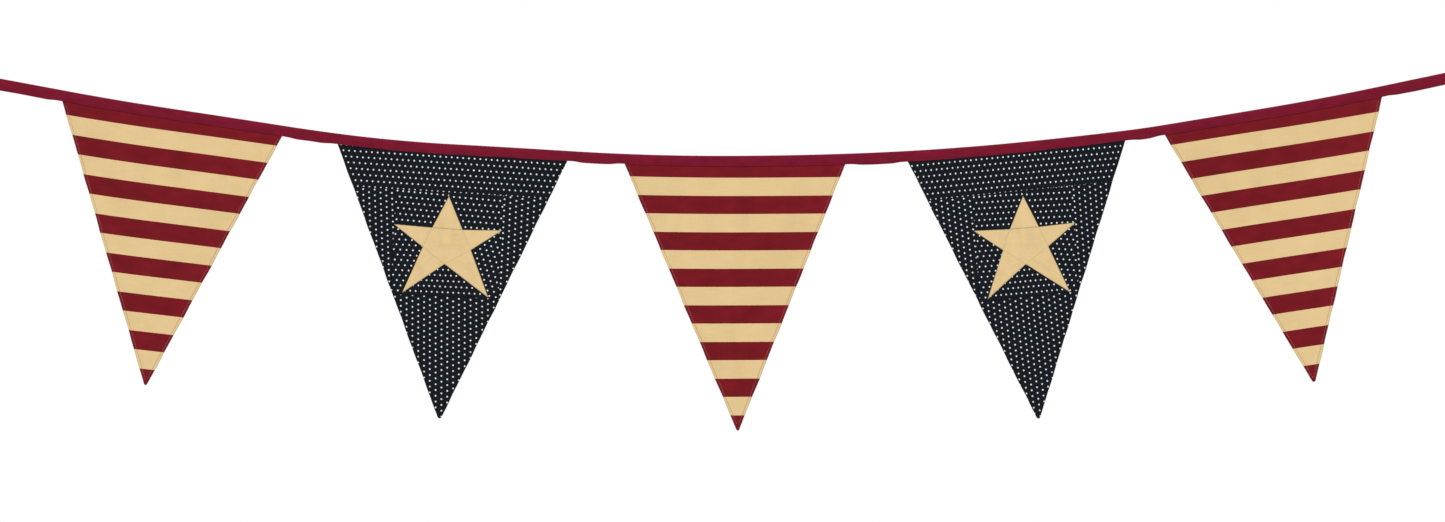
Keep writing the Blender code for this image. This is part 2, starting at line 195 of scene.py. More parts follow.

# Soft creases, by their start and end, across and up, their width and their depth: a plus depth is a trough
# and a minus one a ridge.
# Each crease also paints shade on the front: darker in a trough, lighter on a ridge.
CREASES = {
    "pennant_1_striped": [
        ((-95.0, 292.0), (-30.0, 170.0), 11.0, 0.7),
        ((60.0, 285.0), (20.0, 190.0), 9.0, -0.5),
        ((-25.0, 110.0), (22.0, 85.0), 7.0, 0.4),
        ((14.0, 280.0), (8.0, 243.0), 6.0, 0.4),
        ((65.0, 279.0), (64.0, 246.0), 5.0, 0.3),
    ],
    "pennant_2_dotted": [
        ((-100.0, 285.0), (-70.0, 215.0), 9.0, 0.6),
        ((20.0, 140.0), (-8.0, 40.0), 8.0, -0.5),
        ((-2.2, 250.0), (-2.0, 204.0), 3.2, -0.36),
        ((-12.9, 222.0), (-9.3, 201.0), 2.6, 0.28),
        ((-10.0, 201.5), (5.0, 202.0), 2.6, 0.24),
        ((4.4, 203.0), (4.9, 221.0), 2.6, 0.28),
        ((-37.0, 184.0), (-25.0, 167.0), 3.4, 0.36),
        ((21.0, 187.0), (34.0, 166.0), 3.6, 0.32),
    ],
    "pennant_3_striped": [
        ((88.0, 290.0), (40.0, 180.0), 11.0, 0.7),
        ((-70.0, 270.0), (-40.0, 150.0), 10.0, -0.5),
        ((-8.0, 120.0), (10.0, 45.0), 7.0, 0.4),
        ((14.0, 288.0), (3.5, 180.0), 5.0, 0.34),
        ((-63.0, 290.0), (-72.0, 190.0), 5.0, 0.34),
        ((-83.0, 280.0), (-83.5, 242.0), 4.0, 0.26),
    ],
    "pennant_4_dotted": [
        ((100.0, 290.0), (72.0, 215.0), 9.0, 0.6),
        ((-24.0, 140.0), (4.0, 50.0), 8.0, -0.5),
        ((3.4, 250.0), (-1.0, 207.0), 3.0, -0.34),
        ((-10.0, 224.0), (-13.0, 190.0), 3.2, -0.30),
        ((-4.5, 226.0), (-6.2, 203.0), 2.4, 0.22),
        ((8.6, 223.0), (5.0, 197.0), 3.2, 0.26),
        ((-36.5, 178.0), (-23.0, 170.5), 3.2, 0.40),
        ((15.0, 185.0), (29.0, 171.0), 3.4, 0.26),
    ],
    "pennant_5_striped": [
        ((-90.0, 285.0), (-48.0, 190.0), 10.0, 0.6),
        ((40.0, 250.0), (8.0, 120.0), 11.0, -0.6),
        ((-16.5, 299.0), (-22.5, 263.0), 5.0, 0.38),
        ((-28.5, 248.0), (-19.0, 194.0), 6.0, 0.36),
        ((-103.0, 292.0), (-99.0, 262.0), 5.0, 0.30),
        ((83.0, 282.0), (76.0, 250.0), 5.0, 0.30),
    ],
}

# Tape cloth
TAPE_THICK = 0.4
TAPE_PLY_GAP = 0.06
TAPE_TURNED_IN = 9.5
TAPE_UPS = (0.45, 0.8, 1.2, 1.8, 2.4, 3.0, 4.2, 6.0, 7.8, 9.2)
TAPE_TURN_STEPS = 4
TAPE_FOLD_STEPS = 6
TAPE_STATION = 4.0
TAPE_STITCH_IN = 1.8
TAPE_STITCH_FROM_ENDS = (3.0, 1.0)
TAPE_PINCH_MARK = (0.22, 1.1)
TAPE_RIPPLE_MARK = (0.06, 5.0)
TAPE_PRESS_MARK = (0.25, 3.5)
TAPE_SLIM = 0.05
TAPE_EDGE_WANDER = 0.18
TAPE_DRAWN_UP = 1.1

# Stitches: rings along each one, by their share of its length, their swell and how far they stand out.
STITCH_STEP = 2.7
STITCH_LENGTH = 2.3
THREAD_RADIUS = 0.17
INSET_ROUNDS = 4
STITCH_SIDES = 6
STITCH_RINGS = (
    (0.0, 0.5, -0.12), (0.14, 0.95, 0.03), (0.5, 1.0, 0.09), (0.86, 0.95, 0.03), (1.0, 0.5, -0.12),
)

# Prints. THREAD_STEP is the width of one thread of the weave.
CLOTH_MAP = "cloth"
DOT_MAP = "dots"
THREAD_STEP = 0.38
STRIPE_STEP = 42.7
TAN_STRIPE = 21.5
PRINT_FADE = 1.5
STRIPE_SOFT = 0.25
STRIPE_WAVER = 0.22
DOT_STEP = 6.5
DOT_ROW = 6.6
DOT_LEAN = 0.53
DOT_RADIUS = 0.90
DOT_SOFT = 0.1
DOT_WAVER = 0.16

# Painted shade and light, put into the cloth's colour. A painted shade of 1 darkens the colour by the share
# given just below, and a minus one lightens it. The five pairs also have how far each reaches.
PAINTED_SHADE_DARKENING = 0.55
EDGE_SHADE = (0.35, 0.75)
STITCHED_SHADE = (0.3, 0.35)
SEAM_SHADE = (0.8, 0.45)
TAPE_SHADE = (0.04, 0.7)
UNDER_TAPE_LIGHT = (0.22, 2.4)
CREASE_SHADE = 1.0
TAPE_TOP_LIGHT = 0.10
TAPE_TOP_FROM = 5.0
TAPE_TOP_EASE = 6.0
RIGHT_LIFT = 0.08
RIGHT_LIFT_BY = 80.0

# Unevenness of the cloths' tone, and the noise's features to a millimetre, along and across the cloth.
MOTTLE = 0.22
STRIPED_MOTTLE_NOISE = (0.045, 0.08)
TAPE_MOTTLE_NOISE = (0.06, 0.14)
STAR_MOTTLE = 0.06
STAR_MOTTLE_NOISE = (0.05, 0.08)
PATCHY = 0.05
PATCHY_NOISE = (0.028, 0.033)
WEFT_NOISE = (0.05, 2.2)
STRIPE_NOISE = (0.9, 0.05)
DOT_NOISE = (0.9, 0.9)
WHITE_NOISE = (0.12, 0.12)
SLUB = 0.05
DOTTED_SLUB = 0.10
WEFT_SLUBS_BY = 1.6
SLUB_HEIGHT = 0.8
THREAD_TONE = 0.25
THREAD_NOISE = 900.0
THREAD_RIDGES = 700.0

# Colours and surfaces
CLOTH_ROUGHNESS = 0.92
THREAD_ROUGHNESS = 0.8
SHEEN = 0.03
TAN = (0.579, 0.425, 0.213)
BURGUNDY = (0.139, 0.0067, 0.0113)
TAPE_RED = (0.142, 0.0060, 0.0195)
NAVY = (0.0060, 0.0075, 0.0103)
DOT_WHITE = (0.69, 0.72, 0.75)
DOT_WHITE_DULL = (0.56, 0.59, 0.63)
STRIPED_THREAD = (0.40, 0.17, 0.14)
FLOOR_COLOUR = (0.82, 0.82, 0.82)

# Light, floor and camera
WORLD_STRENGTH = 1.0
KEY_STRENGTH = 1.5
KEY_ANGLE = 25.0
KEY_TRAVELS = (0.45, 0.75, -0.6)
FLOOR_SIZE = 4000.0
FLOOR_LEVEL = -1100.0
FLOOR_ROUGHNESS = 0.9
FLOOR_NOISE = 3.0
FLOOR_TONE = 0.02
PHOTO_WIDTH = 1445
PHOTO_HEIGHT = 522
ORIGIN_PIXEL_X = 735.5
ORIGIN_PIXEL_Y = 155.8
MM_PER_PIXEL = 1.1545
LENS = 200.0
SENSOR = 36.0


def smooth_step(value):
    value = np.clip(value, 0.0, 1.0)
    return value * value * (3 - 2 * value)


def mark(away, size, reach):
    """A soft mark: its full size where away is 0, and fading out beyond its reach."""
    return size * np.exp(-((away / reach) ** 2))


def uneven_wave(along, length, waver, waver_length):
    return np.sin(along / length + waver * np.sin(along / waver_length))


class Tape:
    """The tape's path, width and slot, each read by s, the distance from the left end along the top edge."""

    STEP = 0.5

    def __init__(self):
        names, lengths = zip(*[row[:2] for row in STRETCHES])
        self.headings, self.widths, self.forwards = np.array([START] + [row[2:] for row in STRETCHES]).T
        self.knots = np.concatenate([[0.0], np.cumsum(lengths)])
        self.starts = dict(zip(names, self.knots[:-1]))
        self.ends = dict(zip(names, self.knots[1:]))
        self.length = self.knots[-1]
        self.fine = np.linspace(0.0, self.length, int(self.length / self.STEP) + 1)
        heading = self.heading(self.fine)
        self.x = self.run(np.cos(heading))
        self.z = self.run(np.sin(heading))
        middle = self.ends[ORIGIN_AT_END_OF]
        self.x -= np.interp(middle, self.fine, self.x)
        self.z -= np.interp(middle, self.fine, self.z)
        self.open = [self.span(row["name"]) for row in PENNANTS]

    def span(self, name):
        """Where the tape begins and stops holding the pennant of this name."""
        number = name.rsplit("_", 1)[0]
        return self.starts[number + "_left"], self.ends[number + "_right"]

    def run(self, rate):
        steps = (rate[1:] + rate[:-1]) / 2 * np.diff(self.fine)
        return np.concatenate([[0.0], np.cumsum(steps)])

    def heading(self, s):
        return np.radians(np.interp(s, self.knots, self.headings))

    def width(self, s):
        return np.interp(s, self.knots, self.widths)

    def forward(self, s):
        """How far the tape stands forward, eased from one end of a stretch to the other."""
        i = np.clip(np.searchsorted(self.knots, s, side="right"), 1, len(self.knots) - 1)
        before, after = self.forwards[i - 1], self.forwards[i]
        share = (s - self.knots[i - 1]) / (self.knots[i] - self.knots[i - 1])
        return before + (after - before) * smooth_step(share)

    def slot(self, s):
        """The space between the two leaves: shut on its own, and open where it holds a pennant's head."""
        past = [np.maximum(a - SLOT_PAST_HEAD - s, s - b - SLOT_PAST_HEAD) for a, b in self.open]
        outside = np.maximum(np.min(past, axis=0), 0.0)
        return TAPE_SLOT_OPEN + (TAPE_SLOT_SHUT - TAPE_SLOT_OPEN) * smooth_step(outside / SLOT_TAPER)

    def filled(self, s):
        """1 where a pennant's head lies in the tape, and 0 where the tape is folded shut."""
        return (self.slot(s) - TAPE_SLOT_SHUT) / (TAPE_SLOT_OPEN - TAPE_SLOT_SHUT)

    def cloth_width(self, s):
        """The width of the tape's cloth, which is drawn up a little round the pennants' heads."""
        return self.width(s) - TAPE_DRAWN_UP * self.filled(s)

    def point(self, s, down, out=0.0):
        """Points under the top edge at s, down across the tape and out towards the viewer."""
        heading = self.heading(s)
        x = np.interp(s, self.fine, self.x) + down * np.sin(heading)
        z = np.interp(s, self.fine, self.z) - down * np.cos(heading)
        y = -self.forward(s) - out + 0 * x
        return np.stack([x, y, z], axis=-1)


class Pennant:
    """One pennant's middle surface. u runs from -1 at its left edge to 1 at its right, and v is how far
    below the tape a point lies, negative inside the tape. A place on it is (across, up): across its middle
    line to the right, and up from its sharp corner."""

    def __init__(self, row, tape):
        self.row = row
        self.name = row["name"]
        self.tape = tape
        self.first, self.last = tape.span(self.name)
        self.half = math.radians(row["angle"] / 2)
        self.swing = math.radians(row["swing"])
        self.up = np.array([math.sin(self.swing), 0.0, math.cos(self.swing)])
        self.across = np.array([math.cos(self.swing), 0.0, -math.sin(self.swing)])
        left, right = self.lower_edge(-1.0), self.lower_edge(1.0)
        span = right - left
        wide, rise = span @ self.across, span @ self.up
        slope = math.tan(self.half)
        left_height = (wide / slope - rise) / 2
        self.rise = rise / 2
        self.corner = left - self.up * left_height + self.across * left_height * slope
        self.corner[1] = 0.0
        self.height = wide / slope / 2
        self.half_width = wide / 2
        self.radius = row["round"]
        self.round_centre = self.radius / math.sin(self.half)
        self.length = self.height - self.round_centre + self.radius

    def station(self, u):
        return self.first + (self.last - self.first) * (u + 1) / 2

    def lower_edge(self, u):
        s = self.station(u)
        return self.tape.point(s, self.tape.width(s))

    def plan(self, points):
        """The (across, up) places of points given in the row's axes."""
        offset = points - self.corner
        return np.stack([offset @ self.across, offset @ self.up], axis=-1)

    def half_width_at(self, height):
        rounded = np.sqrt(np.maximum(self.radius**2 - (self.round_centre - height) ** 2, 0.0))
        straight_from = self.round_centre - self.radius * math.sin(self.half)
        return np.where(height >= straight_from, height * math.tan(self.half), rounded)

    def side(self, u, v):
        height = self.height - v + u * self.rise * (1 - v / self.height) ** 2
        return np.stack([u * self.half_width_at(height), height], axis=-1)

    def hanging_place(self, u, v):
        """The place below the tape of the point at u and v, between the sides and bowed as the tape is."""
        share = (u[..., None] + 1) / 2
        left, right = self.plan(self.lower_edge(-1.0)), self.plan(self.lower_edge(1.0))
        bow = self.plan(self.lower_edge(u)) - (left + (right - left) * share)
        fade = ((1 - v / self.height) ** 2)[..., None]
        return self.side(-1.0, v) * (1 - share) + self.side(1.0, v) * share + bow * fade

    def head_place(self, u, v):
        """The place inside the tape, where the side edges run on straight."""
        left = self.first + v * math.tan(self.half - self.swing - self.tape.heading(self.first))
        right = self.last - v * math.tan(self.half + self.swing + self.tape.heading(self.last))
        s = left + (right - left) * (u + 1) / 2
        return self.plan(self.tape.point(s, self.tape.width(s) + v))

    def place(self, u, v):
        return np.where((v < 0)[..., None], self.head_place(u, v), self.hanging_place(u, v))

    def forward(self, u, v):
        """How far the middle surface stands forward, as in the solid."""
        row = self.row
        share = np.maximum(v, 0.0) / self.height
        narrow = np.maximum(1 - share, 0.0)
        started = smooth_step(share / RELIEF_STARTS_BY)
        cup = row["cup"] * (1 - u * u) * narrow**2
        twist = row["twist"] * u * narrow
        phase = 2 * math.pi * (u * narrow - row["wave_at"]) * self.half_width / WAVE_LENGTH
        wave = row["wave"] * np.cos(phase) * narrow
        relief = started * (cup + twist + wave) + row["point"] * share**1.5
        return self.tape.forward(self.station(u)) * (1 - share) + relief

    def inset(self, place):
        """How far inside the outline a place lies."""
        across, up = np.abs(place[..., 0]), place[..., 1]
        side = up * math.sin(self.half) - across * math.cos(self.half)
        below = up - self.round_centre
        in_point = across * math.sin(self.half) + below * math.cos(self.half) < 0
        return np.where(in_point, self.radius - np.hypot(across, below), side)

    def points(self, place, forward):
        """Points in the row's axes, from places and how far forward they stand."""
        found = self.corner + place[..., :1] * self.across + place[..., 1:2] * self.up
        found[..., 1] = -forward
        return found

    def rows(self):
        """The v of each cross row: the head, the straight sides, and round the point."""
        centre = self.height - self.round_centre
        straight_to = centre + self.radius * math.sin(self.half)
        head = np.linspace(-HEAD, 0.0, HEAD_ROWS + 1)[:-1]
        straight = np.linspace(0.0, straight_to, int(straight_to / ROW_STEP))[:-1]
        turn = np.linspace(math.pi / 2 - self.half, 0.0, POINT_ROWS + 1)[:-1]
        return np.concatenate([head, straight, centre + self.radius * np.cos(turn)])


def crossing(a, b, c, d):
    """Where the line through a and b meets the line through c and d."""
    ab, cd, ac = b - a, d - c, c - a
    return a + ab * (ac[0] * cd[1] - ac[1] * cd[0]) / (ab[0] * cd[1] - ab[1] * cd[0])


def left_of(line, places):
    """How far places lie to the left of a line, as it is looked along."""
    start, end = line
    run = (end - start) / math.hypot(*(end - start))
    return run[0] * (places[:, 1] - start[1]) - run[1] * (places[:, 0] - start[0])


def by_segment(segment, places):
    """How far along a segment each place lies, as a share of its length, and how far away from it."""
    start, end = segment
    run = end - start
    share = np.clip((places - start) @ run / (run @ run), 0.0, 1.0)
    return share, np.hypot(*(places - start - share[:, None] * run).T)


def ring(corners):
    return list(zip(corners, corners[1:] + corners[:1]))


def within(outline, places):
    """Which places a closed ring of segments goes round."""
    turns = np.zeros(len(places), int)
    for start, end in outline:
        left = left_of((start, end), places)
        turns += (start[1] <= places[:, 1]) & (places[:, 1] < end[1]) & (left > 0)
        turns -= (end[1] <= places[:, 1]) & (places[:, 1] < start[1]) & (left < 0)
    return turns != 0


def creases(name, place):
    """How far the pennant's listed creases set the cloth back at each place, and the shade painted on its
    front, darker where the narrow and deep troughs get the least light and lighter on the ridges, which get
    the most."""
    depth, painted_shade = np.zeros(len(place)), np.zeros(len(place))
    for start, end, wide, deep in CREASES[name]:
        share, away = by_segment((np.array(start), np.array(end)), place)
        felt = mark(away, deep, wide) * np.sqrt(np.clip(4 * share * (1 - share), 0.0, 1.0))
        depth += felt
        painted_shade += CREASE_SHADE * felt / wide
    return depth, painted_shade


class Layout:
    """A pennant's flat cloth: a grid in its own plane, which seams can be cut into before it is given
    its relief and thickness. Each vertex carries its u, v and inset, which the cuts interpolate."""

    def __init__(self, pennant):
        self.pennant = pennant
        self.flat = bmesh.new()
        self.layers = [self.flat.verts.layers.float.new(key) for key in ("u", "v", "inset")]
        u, v = self.grid()
        place = pennant.place(u.ravel(), v.ravel())
        inset = np.maximum(pennant.inset(place), 0.0)
        inset[np.abs(u.ravel()) > 1 - TINY] = 0.0
        place[:, 0] += self.wander(u.ravel(), v.ravel())
        made = [self.vertex(*values) for values in zip(place, u.ravel(), v.ravel(), inset)]
        tip_place = pennant.place(np.zeros(1), np.array([pennant.length]))[0]
        tip = self.vertex(tip_place, 0.0, pennant.length, 0.0)
        tall, wide = u.shape
        for row in range(tall - 1):
            for i in range(wide - 1):
                a = row * wide + i
                self.flat.faces.new([made[a], made[a + wide], made[a + wide + 1], made[a + 1]])
        last = made[(tall - 1) * wide:]
        for a, b in zip(last, last[1:]):
            self.flat.faces.new([a, tip, b])

    def vertex(self, place, u, v, inset):
        made = self.flat.verts.new((place[0], place[1], 0.0))
        for layer, value in zip(self.layers, (u, v, inset)):
            made[layer] = value
        return made

    def grid(self):
        """u and v of the grid: columns stay at set distances from the side edges, and even in between."""
        rows = self.pennant.rows()
        steps = np.array(EDGE_STEPS) / math.cos(self.pennant.half)
        columns = []
        for v in rows:
            ends = self.pennant.place(np.array([-1.0, 1.0]), np.array([v, v]))
            wide = ends[1, 0] - ends[0, 0]
            edge = steps * min(1.0, wide / 2 / (steps[-1] * EDGE_SQUEEZE))
            inner = np.linspace(edge[-1], wide - edge[-1], INNER_COLUMNS + 1)[1:-1]
            columns.append(np.concatenate([edge, inner, (wide - edge)[::-1]]) / wide * 2 - 1)
        u = np.array(columns)
        return u, np.repeat(rows[:, None], u.shape[1], axis=1)

    def wander(self, u, v):
        """The turned side edges aren't quite straight: a small shift along the row, nothing at the middle,
        with a phase of its own for each side of each pennant."""
        phase = np.where(u < 0, WANDER_PHASES["left"], WANDER_PHASES["right"])
        phase = phase + WANDER_PHASES["by_swing"] * self.pennant.row["swing"]
        short = WANDER_SHORT_SIZE * np.sin(v / WANDER_SHORT + WANDER_SHORT_PHASE * phase)
        near_edge = smooth_step((np.abs(u) - WANDER_FROM) / (1 - WANDER_FROM))
        ends = smooth_step(v / WANDER_FADES[0]) * smooth_step((self.pennant.length - v) / WANDER_FADES[1])
        return EDGE_WANDER * (np.sin(v / WANDER_LONG + phase) + short) * near_edge * ends

    def cut(self, line, inside=None):
        """Cuts the faces whose middles are inside along a line, and beside it, where a seam sinks."""
        start, end = line
        direction = (end - start) / math.hypot(*(end - start))
        normal = np.array([-direction[1], direction[0]])
        for step in SEAM_STEPS:
            place = start + normal * step
            faces = self.flat.faces[:]
            if inside is not None:
                middles = np.array([face.calc_center_median()[:2] for face in faces])
                faces = compress(faces, inside(middles))
            geometry = {item for face in faces for item in (face, *face.edges, *face.verts)}
            bmesh.ops.bisect_plane(
                self.flat, geom=list(geometry), dist=CUT_SNAP,
                plane_co=(*place, 0.0), plane_no=(*normal, 0.0),
            )

    def read(self):
        """The places, u, v and inset of the vertices, and the faces as tuples of their numbers."""
        self.flat.verts.index_update()
        self.flat.verts.ensure_lookup_table()
        self.place = np.array([vert.co[:2] for vert in self.flat.verts])
        self.u, self.v, self.inset = (
            np.array([vert[layer] for vert in self.flat.verts]) for layer in self.layers
        )
        self.faces = [tuple(vert.index for vert in face.verts) for face in self.flat.faces]
        self.middles = np.array([self.place[list(face)].mean(axis=0) for face in self.faces])
        self.flat.free()

    def points(self, forward):
        return self.pennant.points(self.place, forward)


class Patchwork:
    """The seams of one dotted pennant: the block round the star, the star, and the block's background."""

    WEDGES = ["wedge_upper_right", "wedge_right", "wedge_bottom", "wedge_left", "wedge_upper_left"]

    def __init__(self, name):
        self.centre = np.array(STARS[name]["middle"])
        corners = [self.centre + corner for corner in STARS[name]["corners"]]
        self.tips = corners[0::2]
        self.outline = ring(corners)
        self.middle = ring(corners[1::2])
        self.block = {}
        for side, (at, degrees) in BLOCKS[name].items():
            tilt = math.radians(degrees)
            level = side in ("top", "bottom")
            start = np.array([0.0, at]) if level else np.array([at, self.centre[1]])
            along = (math.cos(tilt), math.sin(tilt)) if level else (-math.sin(tilt), math.cos(tilt))
            self.block[side] = (start, start + np.array(along))

    def between_bands(self, places):
        return (left_of(self.block["bottom"], places) > 0) & (left_of(self.block["top"], places) < 0)

    def in_block(self, places):
        between_sides = (left_of(self.block["left"], places) < 0) & (left_of(self.block["right"], places) > 0)
        return self.between_bands(places) & between_sides

    def in_star(self, places):
        return within(self.outline, places)

    def cut_into(self, layout):
        for side in ("top", "bottom"):
            layout.cut(self.block[side])
        for side in ("left", "right"):
            layout.cut(self.block[side], self.between_bands)
        for seam in self.outline + self.middle:
            layout.cut(seam, lambda places: by_segment(seam, places)[1] < CUT_REACH)
        for tip in (self.tips[0], self.tips[2], self.tips[3]):
            outward = tip - self.centre
            layout.cut(
                (tip, tip + outward),
                lambda places: self.in_block(places) & ((places - tip) @ outward > -SEAM_HALF_WIDTH),
            )

    def segments(self):
        """Every seam as a segment with its strength: the block's sides, the star's, and the short ones
        beyond three tips. In the star only the seam under its top point shows strongly."""
        top, bottom, left, right = (self.block[side] for side in ("top", "bottom", "left", "right"))
        found = list(self.outline)
        for start, end in (top, bottom):
            run = (end - start) * BAND_REACH
            found.append((start - run, start + run))
        for side in (left, right):
            found.append((crossing(*side, *bottom), crossing(*side, *top)))
        found.append((self.tips[0], crossing(self.centre, self.tips[0], *top)))
        for tip, side in ((self.tips[2], right), (self.tips[3], left)):
            ends = [crossing(self.centre, tip, *bottom), crossing(self.centre, tip, *side)]
            found.append((tip, min(ends, key=lambda end: math.hypot(*(end - self.centre)))))
        return [(seam, 1.0) for seam in found] + list(zip(self.middle, STAR_SEAMS))

    def patch_names(self, places):
        """The patch that each place lies in."""
        names = np.full(len(places), "bottom", dtype=object)
        names[left_of(self.block["top"], places) > 0] = "top"
        middle = self.between_bands(places)
        names[middle & (left_of(self.block["left"], places) > 0)] = "left"
        names[middle & (left_of(self.block["right"], places) < 0)] = "right"
        block = self.in_block(places)
        full = 2 * math.pi
        top = math.atan2(*(self.tips[0] - self.centre))
        angle = (np.arctan2(*(places - self.centre).T) - top) % full
        turns = [(math.atan2(*(tip - self.centre)) - top) % full for tip in self.tips] + [full]
        for wedge, low, high in zip(self.WEDGES, turns, turns[1:]):
            names[block & (angle >= low) & (angle < high)] = wedge
        return names

    def star_patches(self, places):
        """Which of the star's patches each place lies in: 0 is its middle, and 1 to 5 are its points."""
        nearest = np.argmin([np.hypot(*(places - tip).T) for tip in self.tips], axis=0)
        return list(np.where(within(self.middle, places), 0, nearest + 1))


def half_thickness(inset, v):
    """Half the sewn cloth's thickness: two layers inside, more where the seam allowance lies inside the
    edge, rounded at the edge, sunk along the topstitching and slightly puckered beside it."""
    in_allowance = smooth_step((ALLOWANCE + ALLOWANCE_EASE - inset) / (2 * ALLOWANCE_EASE))
    from_stitch = inset - TOPSTITCH_IN
    pucker = mark(from_stitch, *PUCKER_MARK) * uneven_wave(v, *PUCKER_WAVE)
    half = LAYER_HALF + (EDGE_HALF - LAYER_HALF) * in_allowance - mark(from_stitch, *TOPSTITCH_MARK)
    half = half + pucker * smooth_step(inset / PUCKER_FROM_EDGE)
    return half * np.sqrt(1 - np.clip(1 - inset / EDGE_ROUND, 0.0, 1.0) ** 2)


def painted_fold_shade(inset):
    """Painted shade from 0 to 1 where the cloth lies in a fold: at the turned edge and under the
    topstitching.
    """
    return np.maximum(mark(inset, *EDGE_SHADE), mark(inset - TOPSTITCH_IN, *STITCHED_SHADE))


def cloth_mesh(name, points, faces, maps, painted_shades):
    """A mesh of points in millimetres, with its corners' coordinates in each map and its points' painted
    shades.
    """
    mesh = bpy.data.meshes.new(name)
    mesh.from_pydata((points * MM).tolist(), [], faces)
    for layer, values in maps.items():
        mesh.uv_layers.new(name=layer).uv.foreach_set("vector", values.astype(np.float32).ravel())
    # The 'fold' attribute holds painted shade and light, which the cloth looks put into the colour.
    mesh.attributes.new("fold", "FLOAT", "POINT").data.foreach_set("value", painted_shades.astype(np.float32))
    return mesh


def face_outward(mesh):
    flat = bmesh.new()
    flat.from_mesh(mesh)
    bmesh.ops.recalc_face_normals(flat, faces=flat.faces)
    flat.to_mesh(mesh)
    flat.free()


def tube_faces(rings, sides):
    """The walls between rings of points that follow one another."""
    faces = []
    for a in range(0, (rings - 1) * sides, sides):
        for i in range(sides):
            j = (i + 1) % sides
            faces.append((a + i, a + j, a + sides + j, a + sides + i))
    return faces


def add_object(name, data):
    made = bpy.data.objects.new(name, data)
    bpy.context.scene.collection.objects.link(made)
    return made


def finished(name, mesh, look, sharp_from=50):
    made = add_object(name, mesh)
    mesh.materials.append(look)
    mesh.shade_smooth()
    mesh.set_sharp_from_angle(angle=math.radians(sharp_from))
    return made


class Shell:
    """One closed cloth mesh. Each point keeps its number in the layout and its painted shade, and each face
    its patch, from which the corners' cloth coordinates are worked out."""

    def __init__(self):
        self.points = []
        self.base = []
        self.shade = []
        self.faces = []
        self.patches = []

    def add_points(self, points, shade):
        """Adds a whole layer of the layout's vertices and returns their numbers in this mesh."""
        numbers = np.arange(len(points))
        before = sum(map(len, self.points))
        self.points.append(points)
        self.base.append(numbers)
        self.shade.append(shade)
        return before + numbers

    def add_faces(self, faces, patches, numbers, reverse=False):
        for face, patch in zip(faces, patches):
            found = tuple(int(numbers[i]) for i in face)
            self.faces.append(found[::-1] if reverse else found)
            self.patches.append(patch)

    def add_wall(self, edges, patches, upper, lower):
        """Joins two layers along a rim, leaving out what closes up where the layers meet."""
        for (a, b), number in edges:
            corners = [int(upper[b]), int(upper[a]), int(lower[a]), int(lower[b])]
            kept = [n for i, n in enumerate(corners) if n != corners[i - 1]]
            if len(kept) > 2:
                self.faces.append(tuple(kept))
                self.patches.append(patches[number])

    def make(self, name, coordinates, look):
        """The object: its loose points dropped, its corners given their cloth coordinates."""
        points, base, shade = (np.concatenate(rows) for rows in (self.points, self.base, self.shade))
        used = np.unique(np.concatenate([np.array(face) for face in self.faces]))
        renumber = np.full(len(points), -1)
        renumber[used] = np.arange(len(used))
        faces = [tuple(int(renumber[i]) for i in face) for face in self.faces]
        corner_base = base[used][[i for face in faces for i in face]]
        corner_patch = np.array([p for face, p in zip(faces, self.patches) for _ in face], dtype=object)
        maps = coordinates(corner_base, corner_patch)
        return finished(name, cloth_mesh(name, points[used], faces, maps, shade[used]), look)


def rim(faces):
    """The edges that only one of the faces has, each in that face's direction, with the face's number."""
    found = {}
    for number, face in enumerate(faces):
        for a, b in zip(face, face[1:] + face[:1]):
            found[a, b] = number
    return [(edge, number) for edge, number in found.items() if edge[::-1] not in found]


